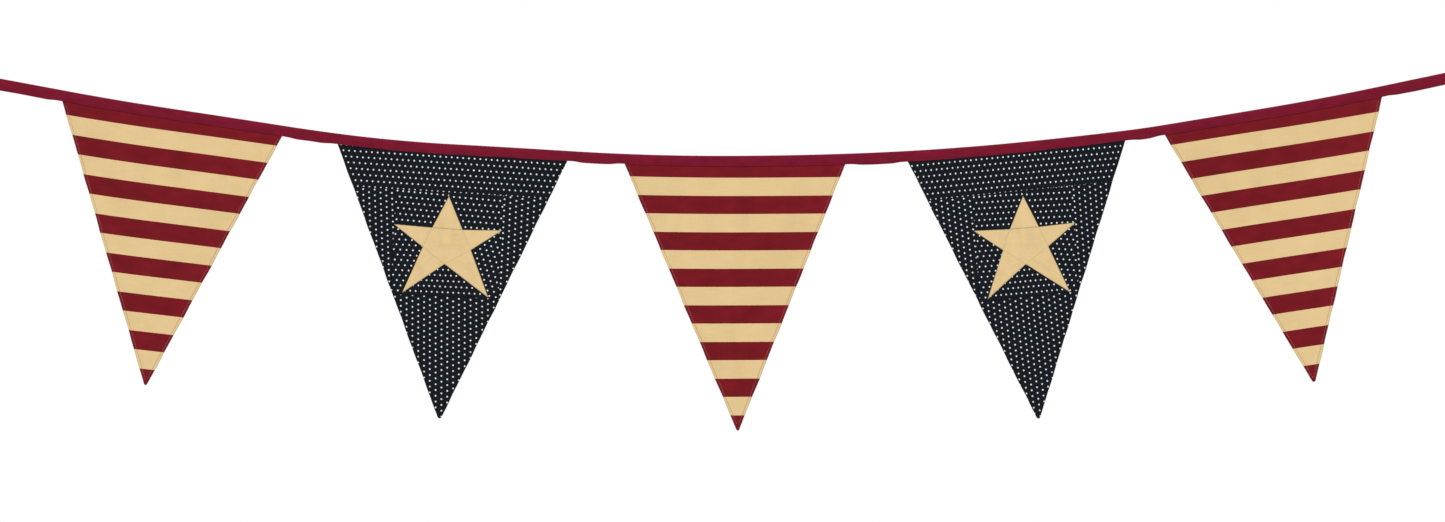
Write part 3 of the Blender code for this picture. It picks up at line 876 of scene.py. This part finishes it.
def make_pennant(pennant, look, star_look):
    """The pennant's cloth and, let into a dotted one, its star. Its back is one plain cloth."""
    layout = Layout(pennant)
    patchwork = Patchwork(pennant.name) if pennant.name in STARS else None
    if patchwork:
        patchwork.cut_into(layout)
    layout.read()
    set_back, painted_crease_shade = creases(pennant.name, layout.place)
    middle = pennant.forward(layout.u, layout.v) - set_back
    half = half_thickness(layout.inset, layout.v)
    shade = painted_fold_shade(layout.inset)
    sunk, front_shade = np.zeros(len(half)), shade
    if patchwork:
        # Each seam sinks the front and paints shade along itself.
        for seam, strength in patchwork.segments():
            away = by_segment(seam, layout.place)[1]
            sunk = np.maximum(sunk, mark(away, math.sqrt(strength), SEAM_HALF_WIDTH))
            front_shade = np.maximum(front_shade, strength * mark(away, *SEAM_SHADE))
        back_patch = "back"
        patches = patchwork.patch_names(layout.middles)
        starry = patchwork.in_star(layout.middles)
    else:
        back_patch = "stripes"
        patches = np.full(len(layout.faces), back_patch, dtype=object)
        starry = np.zeros(len(layout.faces), bool)
    front = middle + half - SEAM_SINK * sunk * smooth_step(layout.inset / SEAM_FROM_EDGE)
    # Painted shade from the creases, and painted light just under the tape, where its shadow falls.
    front_shade = front_shade + painted_crease_shade - mark(layout.v + TAPE_DRAWN_UP, *UNDER_TAPE_LIGHT)
    plain_faces, star_faces = (list(compress(layout.faces, chosen)) for chosen in (~starry, starry))
    plain_patches = patches[~starry]

    cloth = Shell()
    over = cloth.add_points(layout.points(front), front_shade)
    under = cloth.add_points(layout.points(middle - half), shade)
    under = np.where(half < TINY, over, under)
    cloth.add_faces(plain_faces, plain_patches, over)
    cloth.add_faces(layout.faces, [back_patch] * len(layout.faces), under, reverse=True)
    outer = rim(layout.faces)
    cloth.add_wall(outer, patches, over, under)
    if patchwork:
        bed = cloth.add_points(layout.points(middle - STAR_BED), shade)
        cloth.add_faces(star_faces, [back_patch] * len(star_faces), bed)
        outer_edges = {edge for edge, _ in outer}
        inner = [(edge, number) for edge, number in rim(plain_faces) if edge not in outer_edges]
        cloth.add_wall(inner, plain_patches, over, bed)
    coordinates = (dotted_coordinates if patchwork else striped_coordinates)(layout)
    made = [cloth.make(pennant.name + "_cloth", coordinates, look)]

    if patchwork:
        star = Shell()
        over = star.add_points(layout.points(front), front_shade)
        under = star.add_points(layout.points(middle), shade)
        points = patchwork.star_patches(layout.middles[starry])
        star.add_faces(star_faces, points, over)
        star.add_faces(star_faces, points, under, reverse=True)
        star.add_wall(rim(star_faces), points, over, under)
        made.append(star.make(STARS[pennant.name]["name"] + "_cloth", star_coordinates(layout), star_look))
    return made


def turned(across, up, turn):
    """Places in axes that are turned by an angle."""
    return across * np.cos(turn) + up * np.sin(turn), up * np.cos(turn) - across * np.sin(turn)


def striped_coordinates(layout):
    """Cloth coordinates of the striped print: across the cloth, and down from its first tan stripe."""
    first, step, tilt, bow = layout.pennant.row["print"]

    def coordinates(base, _):
        u, v = layout.u[base], layout.v[base]
        fade = np.clip(1 - v / layout.pennant.height, 0.0, 1.0) ** PRINT_FADE
        down = (v - first - (tilt * u + bow * u * u) * fade) * STRIPE_STEP / step
        return {CLOTH_MAP: np.stack([layout.place[base, 0], down], axis=1)}
    return coordinates


def star_coordinates(layout):
    """Cloth coordinates of the star's patches, each cut with its threads at its own angle."""
    def coordinates(base, patch):
        turn = np.radians(np.array(STAR_THREAD_TURNS)[patch.astype(int)])
        return {CLOTH_MAP: np.stack(turned(*layout.place[base].T, turn), axis=1)}
    return coordinates


def dotted_coordinates(layout):
    """Cloth coordinates in millimetres, and dot coordinates, which are whole numbers at each dot."""
    rows = PRINTS[layout.pennant.name]

    def coordinates(base, patch):
        turn, step, row, lean, dot_across, dot_up = np.array([rows[p] for p in patch]).T
        across, up = layout.place[base].T
        along, over = turned(across - dot_across, up - dot_up, np.radians(turn))
        dots = np.stack([along / step - lean * (over / row), over / row], axis=1)
        return {CLOTH_MAP: np.stack([along, over], axis=1), DOT_MAP: dots}
    return coordinates


def make_stitches(name, rows, look):
    """Rows of stitches as one mesh. Each row has where its stitches start and end, and 1 or -1 for the way
    along Y that its cloth faces. Each stitch is a short thread whose ends dip into the cloth."""
    starts, ends = (np.concatenate([row[i] for row in rows]) for i in (0, 1))
    outward = np.concatenate([np.tile([0.0, float(face), 0.0], (len(start), 1)) for start, _, face in rows])
    along = ends - starts
    along = along / np.linalg.norm(along, axis=1, keepdims=True)
    beside = np.cross(along, outward)
    beside = beside / np.linalg.norm(beside, axis=1, keepdims=True)
    outward = np.cross(beside, along)
    points = []
    for share, swell, lift in STITCH_RINGS:
        middle = starts + (ends - starts) * share + outward * lift
        for i in range(STITCH_SIDES):
            angle = 2 * math.pi * i / STITCH_SIDES
            spoke = beside * math.cos(angle) + outward * math.sin(angle)
            points.append(middle + spoke * THREAD_RADIUS * swell)
    points = np.stack(points, axis=1)
    per_stitch = points.shape[1]
    caps = [range(STITCH_SIDES)[::-1], range(per_stitch - STITCH_SIDES, per_stitch)]
    pattern = tube_faces(len(STITCH_RINGS), STITCH_SIDES) + caps
    faces = [tuple(n * per_stitch + i for i in face) for n in range(len(points)) for face in pattern]
    mesh = bpy.data.meshes.new(name)
    mesh.from_pydata((points.reshape(-1, 3) * MM).tolist(), [], faces)
    face_outward(mesh)
    return finished(name, mesh, look, sharp_from=80)


def make_topstitching(pennant, look):
    """Two rows down each face of the pennant, beside its edges, which meet above its point."""
    lowest = pennant.height - TOPSTITCH_IN / math.sin(pennant.half) - STITCH_LENGTH
    v = np.arange(TOPSTITCH_FROM, lowest, STITCH_STEP * math.cos(pennant.half))
    rows = []
    for side in (-1, 1):
        for face in (-1, 1):
            row = []
            for at in (v, v + STITCH_LENGTH * math.cos(pennant.half)):
                u = inset_line(pennant, side, at)
                place = pennant.place(u, at)
                stands = pennant.forward(u, at) - creases(pennant.name, place)[0]
                half = half_thickness(np.full(len(at), TOPSTITCH_IN), at)
                row.append(pennant.points(place, stands - face * half))
            rows.append((*row, face))
    return make_stitches(pennant.name + "_topstitching", rows, look)


def inset_line(pennant, side, v):
    """The u, at each v, of the line that runs along a side edge at the topstitching's distance from it."""
    ends = [pennant.place(np.full(len(v), u), v) for u in (-1.0, 1.0)]
    half_wide = (ends[1][:, 0] - ends[0][:, 0]) / 2
    u = np.full(len(v), float(side))
    for _ in range(INSET_ROUNDS):
        short = TOPSTITCH_IN - pennant.inset(pennant.place(u, v))
        u = u - side * short / (half_wide * math.cos(pennant.half))
    return u


def tape_out(tape, s, from_edge):
    """How far each face of the tape stands from its middle: pinched where it is stitched near its edge, and
    pressed on to the pennants' heads there."""
    pinch = mark(from_edge - TAPE_STITCH_IN, *TAPE_PINCH_MARK)
    ripple = mark(from_edge, *TAPE_RIPPLE_MARK) * uneven_wave(s, *RIPPLE_WAVE)
    press = mark(from_edge, *TAPE_PRESS_MARK) * tape.filled(s)
    return tape.slot(s) / 2 + TAPE_LEAF - pinch - press - TAPE_SLIM + ripple


def tape_section(tape, s):
    """The strip's middle line across the tape at s, from the raw edge inside the front, down, round the
    turned edge, up the front, over the fold, and the same down the back. Each row is (down, out)."""
    width = tape.cloth_width(s) + TAPE_EDGE_WANDER * uneven_wave(s, *TAPE_EDGE_WAVE)
    half_leaf = TAPE_THICK / 2
    turn = (TAPE_THICK + TAPE_PLY_GAP) / 2
    edge_out = tape_out(tape, s, 0.0) - half_leaf
    face = [(width - up, tape_out(tape, s, up) - half_leaf) for up in TAPE_UPS]
    inside = [(down, out - 2 * turn) for down, out in face[::-1] if width - down < TAPE_TURNED_IN]
    angles = [math.pi * (i + 0.5) / TAPE_TURN_STEPS for i in range(TAPE_TURN_STEPS)]
    lower = width - TAPE_UPS[0]
    lip = [(lower + turn * math.sin(a), edge_out - turn - turn * math.cos(a)) for a in angles]
    top_out = tape_out(tape, s, width) - half_leaf
    angles = [math.pi / 2 * (i + 1) / TAPE_FOLD_STEPS for i in range(TAPE_FOLD_STEPS)]
    fold = [(half_leaf + top_out * (1 - math.sin(a)), top_out * math.cos(a)) for a in angles]
    kept = [(down, out) for down, out in face if down > half_leaf + top_out]
    front = inside + lip + kept + fold
    back = [(down, -out) for down, out in front[:-1]][::-1]
    return np.array(front + back)


def make_tape(tape, look):
    """One strip folded over the pennants' heads, its long edges turned in, as a thin closed mesh."""
    stations = np.linspace(0.0, tape.length, int(tape.length / TAPE_STATION) + 1)
    points, coordinates, shades = [], [], []
    for s in stations:
        section = tape_section(tape, s)
        run = np.gradient(section, axis=0)
        normal = np.stack([-run[:, 1], run[:, 0]], axis=1) / np.hypot(*run.T)[:, None]
        length = np.concatenate([[0.0], np.cumsum(np.hypot(*np.diff(section, axis=0).T))])
        from_edge = tape.cloth_width(s) - section[:, 0]
        # Painted light on the tape's upper part and painted shade along its turned lower edge.
        top_light = TAPE_TOP_LIGHT * smooth_step((from_edge - TAPE_TOP_FROM) / TAPE_TOP_EASE)
        shade = mark(from_edge, *TAPE_SHADE) - top_light
        for side in (1, -1):
            down, out = (section + normal * side * TAPE_THICK / 2)[::side].T
            along = np.full(len(section), s)
            points.append(tape.point(along, down, out))
            coordinates.append(np.stack([along, length[::side]], axis=1))
            shades.append(shade[::side])
    points, coordinates, shades = (np.concatenate(rows) for rows in (points, coordinates, shades))
    loop = 2 * len(section)
    faces = tube_faces(len(stations), loop)
    for start, step in ((0, 1), (len(points) - loop, -1)):
        for i in range(loop // 2 - 1):
            faces.append(tuple(start + n for n in (i, i + 1, loop - 2 - i, loop - 1 - i))[::step])
    maps = {CLOTH_MAP: coordinates[[i for face in faces for i in face]]}
    mesh = cloth_mesh("binding_tape_cloth", points, faces, maps, shades)
    face_outward(mesh)
    return finished("binding_tape_cloth", mesh, look)


def make_tape_stitching(tape, look):
    """One row along each face of the tape, near its turned edges."""
    first, after_last = TAPE_STITCH_FROM_ENDS
    s = np.arange(first, tape.length - STITCH_LENGTH - after_last, STITCH_STEP)
    rows = []
    for face in (-1, 1):
        row = []
        for at in (s, s + STITCH_LENGTH):
            out = tape_out(tape, at, TAPE_STITCH_IN)
            row.append(tape.point(at, tape.cloth_width(at) - TAPE_STITCH_IN, -face * out))
        rows.append((*row, face))
    return make_stitches("binding_tape_stitching", rows, look)


class Look:
    """A material whose nodes are wired as they are made."""

    def __init__(self, name, roughness, sheen):
        self.material = bpy.data.materials.new(name)
        self.material.use_nodes = True
        self.tree = self.material.node_tree
        self.surface = self.tree.nodes["Principled BSDF"]
        self.set(self.surface, {
            "Roughness": roughness, "Specular IOR Level": 0.06,
            "Sheen Weight": sheen, "Sheen Roughness": 0.45, "Sheen Tint": (1.0, 1.0, 1.0),
        })

    def set(self, node, inputs):
        for key, value in inputs.items():
            socket = node.inputs[key]
            if isinstance(value, bpy.types.NodeSocket):
                self.tree.links.new(value, socket)
            elif socket.type == "RGBA":
                socket.default_value = (*value, 1.0)
            else:
                socket.default_value = value

    def node(self, kind, inputs, output=0, **settings):
        made = self.tree.nodes.new("ShaderNode" + kind)
        for key, value in settings.items():
            setattr(made, key, value)
        self.set(made, inputs)
        return made.outputs[output]

    def math(self, operation, *values):
        return self.node("Math", dict(enumerate(values)), operation=operation)

    def map(self, name):
        return self.node("UVMap", {}, uv_map=name)

    def split(self, vector):
        x = self.node("SeparateXYZ", {0: vector})
        return x, x.node.outputs[1]

    def noise(self, place, stretch):
        """Noise from 0 to 1 over the cloth, with this many features to a millimetre each way."""
        scaled = self.node("VectorMath", {0: place, 1: (*stretch, 1.0)}, operation="MULTIPLY")
        inputs = {"Vector": scaled, "Scale": 1.0, "Detail": 2.0, "Roughness": 0.5}
        return self.node("TexNoise", inputs, noise_dimensions="2D")

    def about(self, value, middle, swing):
        """A 0 to 1 value spread to middle plus or minus swing."""
        return self.math("MULTIPLY_ADD", value, 2 * swing, middle - swing)

    def mix(self, share, first, second):
        return self.node("Mix", {0: share, 6: first, 7: second}, output=2, data_type="RGBA")

    def soft_step(self, value, low, high):
        inputs = {"Value": value, "From Min": low, "From Max": high}
        return self.node("MapRange", inputs, interpolation_type="SMOOTHSTEP")

    def tint(self, colour, level):
        """The colour made lighter or darker by a level about 1."""
        return self.node("VectorMath", {0: colour, "Scale": level}, operation="SCALE")

    def finish(self, colour, height):
        bump = self.node("Bump", {"Height": height, "Strength": 0.45, "Distance": 0.0001})
        self.set(self.surface, {"Base Color": colour, "Normal": bump})
        return self.material


def cloth_look(name):
    look = Look(name, CLOTH_ROUGHNESS, SHEEN)
    # The 'fold' attribute holds the painted shade and light.
    look.fold = look.node("Attribute", {}, output=2, attribute_name="fold")
    return look, look.map(CLOTH_MAP)


def woven(look, place, colour, slub=SLUB, patchy_swing=PATCHY, patchy_size=PATCHY_NOISE):
    """Plain weave over a cloth: its colour, with thicker and paler threads and painted shade, and the height
    of its threads.
    """
    x, y = look.split(place)
    weft = look.noise(place, WEFT_NOISE)
    warp = look.noise(place, WEFT_NOISE[::-1])
    patchy = look.noise(place, patchy_size)
    level = look.math("ADD", look.about(weft, 0.0, slub * WEFT_SLUBS_BY), look.about(warp, 0.0, slub))
    level = look.math("ADD", level, look.about(patchy, 1.0, patchy_swing))
    # Painted shade: the 'fold' attribute darkens the colour at edges, seams, creases and the tape's edge, and
    # lightens it under the tape and on ridges.
    level = look.math("SUBTRACT", level, look.math("MULTIPLY", look.fold, PAINTED_SHADE_DARKENING))
    over = look.math("SINE", look.math("MULTIPLY", x, math.pi / THREAD_STEP))
    under = look.math("SINE", look.math("MULTIPLY", y, math.pi / THREAD_STEP))
    slubs = look.math("ADD", look.about(weft, 0.0, SLUB_HEIGHT), look.about(warp, 0.0, SLUB_HEIGHT))
    height = look.math("ADD", look.math("MULTIPLY", over, under), slubs)
    return look.finish(look.tint(colour, level), height)


def plain_look(name, colour, patchy_swing, patchy_size):
    look, place = cloth_look(name)
    return woven(look, place, colour, patchy_swing=patchy_swing, patchy_size=patchy_size)


def striped_look(name):
    """Burgundy with tan stripes across the cloth. Their edges waver by part of a thread, and the burgundy
    is mottled and a little paler towards the right."""
    look, place = cloth_look(name)
    x, down = look.split(place)
    waver = look.about(look.noise(place, STRIPE_NOISE), 0.0, STRIPE_WAVER)
    from_first = look.math("ADD", down, waver)
    turns = look.math("FRACT", look.math("DIVIDE", from_first, STRIPE_STEP))
    from_stripe = look.math("MULTIPLY", turns, STRIPE_STEP)
    starts = look.soft_step(from_stripe, 0.0, STRIPE_SOFT)
    stops = look.soft_step(from_stripe, TAN_STRIPE, TAN_STRIPE + STRIPE_SOFT)
    below_first = look.soft_step(from_first, -STRIPE_SOFT, 0.0)
    tan_share = look.math("MULTIPLY", look.math("SUBTRACT", starts, stops), below_first)
    mottle = look.about(look.noise(place, STRIPED_MOTTLE_NOISE), 1.0 - RIGHT_LIFT / 3, MOTTLE)
    lift = look.math("MULTIPLY", look.soft_step(x, 0.0, RIGHT_LIFT_BY), RIGHT_LIFT)
    burgundy = look.tint(BURGUNDY, look.math("ADD", mottle, lift))
    return woven(look, place, look.mix(tan_share, burgundy, TAN))


def dotted_look(name):
    """Black-navy with white pin dots, a little uneven in size and whiteness."""
    look, place = cloth_look(name)
    off_step, off_row = (
        look.math("SUBTRACT", value, look.math("ROUND", value)) for value in look.split(look.map(DOT_MAP))
    )
    along = look.math("MULTIPLY", look.math("MULTIPLY_ADD", off_row, DOT_LEAN, off_step), DOT_STEP)
    over = look.math("MULTIPLY", off_row, DOT_ROW)
    squares = look.math("MULTIPLY_ADD", along, along, look.math("MULTIPLY", over, over))
    waver = look.about(look.noise(place, DOT_NOISE), 0.0, DOT_WAVER)
    away = look.math("ADD", look.math("SQRT", squares), waver)
    dot = look.math("SUBTRACT", 1.0, look.soft_step(away, DOT_RADIUS - DOT_SOFT, DOT_RADIUS + DOT_SOFT))
    white = look.mix(look.noise(place, WHITE_NOISE), DOT_WHITE_DULL, DOT_WHITE)
    return woven(look, place, look.mix(dot, NAVY, white), slub=DOTTED_SLUB)


def thread_look(name, colour):
    """Spun sewing thread, with its tone a little uneven along it."""
    look = Look(name, THREAD_ROUGHNESS, SHEEN)
    place = look.node("TexCoord", {}, output=3)
    level = look.about(look.node("TexNoise", {"Vector": place, "Scale": THREAD_NOISE}), 1.0, THREAD_TONE)
    waves = {"Vector": place, "Scale": THREAD_RIDGES, "Distortion": 1.0}
    ridges = look.node("TexWave", waves, output=1)
    return look.finish(look.tint(colour, level), ridges)


def light_scene():
    """White surroundings and a broad soft light from the upper left front."""
    scene = bpy.context.scene
    scene.view_settings.view_transform = "Standard"
    world = bpy.data.worlds.new("studio")
    world.use_nodes = True
    colour, strength = world.node_tree.nodes["Background"].inputs[:2]
    colour.default_value = (1.0, 1.0, 1.0, 1.0)
    strength.default_value = WORLD_STRENGTH
    scene.world = world
    lamp = bpy.data.lights.new("key", "SUN")
    lamp.energy = KEY_STRENGTH
    lamp.angle = math.radians(KEY_ANGLE)
    key = add_object("key", lamp)
    key.rotation_mode = "QUATERNION"
    key.rotation_quaternion = Vector(KEY_TRAVELS).to_track_quat("-Z", "Y")


def lay_floor():
    """A plain pale floor far below."""
    size, level = FLOOR_SIZE * MM, FLOOR_LEVEL * MM
    mesh = bpy.data.meshes.new("floor")
    corners = [(-size, -size, level), (size, -size, level), (size, size, level), (-size, size, level)]
    mesh.from_pydata(corners, [], [(0, 1, 2, 3)])
    look = Look("floor", FLOOR_ROUGHNESS, 0.0)
    place = look.node("TexCoord", {}, output=3)
    tone = look.about(look.node("TexNoise", {"Vector": place, "Scale": FLOOR_NOISE}), 1.0, FLOOR_TONE)
    look.set(look.surface, {"Base Color": look.tint(FLOOR_COLOUR, tone)})
    mesh.materials.append(look.material)
    add_object("floor", mesh)


def place_camera():
    """Straight on, from far away, framed as in the photograph."""
    lens = bpy.data.cameras.new("camera")
    lens.lens = LENS
    lens.sensor_width = SENSOR
    camera = add_object("camera", lens)
    aim_x = (PHOTO_WIDTH / 2 - ORIGIN_PIXEL_X) * MM_PER_PIXEL
    aim_z = (ORIGIN_PIXEL_Y - PHOTO_HEIGHT / 2) * MM_PER_PIXEL
    distance = PHOTO_WIDTH * MM_PER_PIXEL * LENS / SENSOR
    camera.location = Vector((aim_x, -distance, aim_z)) * MM
    camera.rotation_euler = (math.pi / 2, 0.0, 0.0)
    lens.clip_start = 0.1
    lens.clip_end = 100.0
    bpy.context.scene.camera = camera


def carry(pieces, slots):
    for piece, slot in zip(pieces, slots):
        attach(piece, BODY)


def main():
    light_scene()
    lay_floor()
    place_camera()
    tape = Tape()
    dotted = dotted_look("dotted_cotton")
    striped_cotton = striped_look("striped_cotton")
    star_cotton = plain_look("star_cotton", TAN, STAR_MOTTLE, STAR_MOTTLE_NOISE)
    tape_cotton = plain_look("tape_cotton", TAPE_RED, MOTTLE, TAPE_MOTTLE_NOISE)
    burgundy_thread = thread_look("burgundy_thread", TAPE_RED)
    navy_thread = thread_look("navy_thread", NAVY)
    mid_thread = thread_look("striped_thread", STRIPED_THREAD)

    binding = make_tape(tape, tape_cotton)
    tape_stitching = make_tape_stitching(tape, burgundy_thread)
    carry([binding, tape_stitching], ["tape_cloth", "tape_cloth"])
    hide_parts("binding_tape")

    for row in PENNANTS:
        pennant = Pennant(row, tape)
        striped = "print" in row
        made = make_pennant(pennant, striped_cotton if striped else dotted, star_cotton)
        stitching = make_topstitching(pennant, mid_thread if striped else navy_thread)
        slot = "striped_cloth" if striped else "dotted_cloth"
        carry([made[0], stitching, *made[1:]], [slot, slot, "star_cloth"])
        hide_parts(row["name"])
        if len(made) > 1:
            star = STARS[row["name"]]
            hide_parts(star["name"])
            corners = np.array(star["corners"]) * MM


main()
